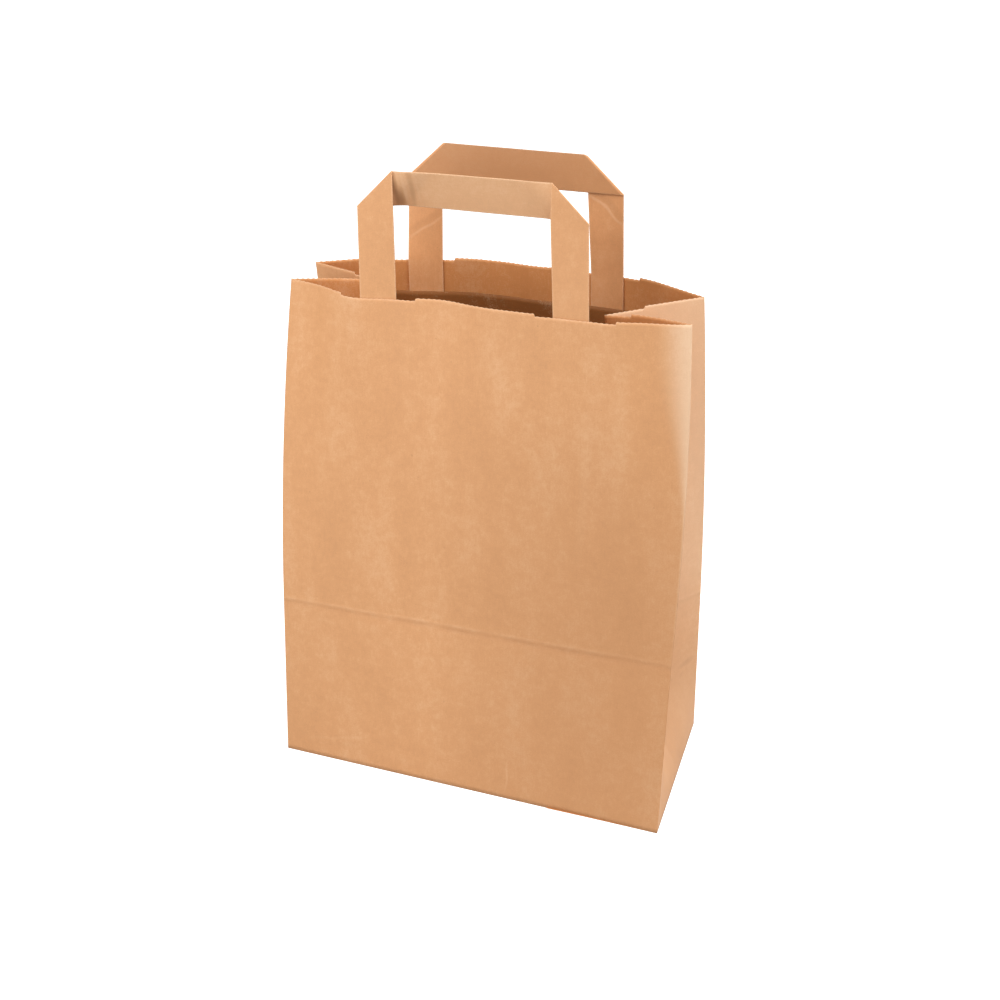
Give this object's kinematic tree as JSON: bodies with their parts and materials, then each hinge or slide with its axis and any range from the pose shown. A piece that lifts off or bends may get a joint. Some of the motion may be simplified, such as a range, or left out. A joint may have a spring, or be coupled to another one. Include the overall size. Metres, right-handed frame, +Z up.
{
  "type": "paper carrier bag",
  "caption": "Upright kraft paper carrier bag with a block bottom, pleated side gussets and flat folded strap handles glued inside the mouth.",
  "frame": {"origin": "middle of the bottom, on the surface that the bag stands on", "axes": "+Z up through the mouth; -Y out of the front panel, the one with the lower handle in the picture; +X towards the right-hand gusset"},
  "size_m": [0.22, 0.1001, 0.3362],
  "materials": {
    "bag_paper": "matt natural kraft",
    "handle_paper": "matt natural kraft",
    "patch_paper": "matt natural kraft"
  },
  "bodies": {
    "root": {"bag_body": "bag_paper", "front_handle": "handle_paper", "rear_handle": "handle_paper", "front_handle_patch": "patch_paper", "rear_handle_patch": "patch_paper"}
  },
  "joints": []
}
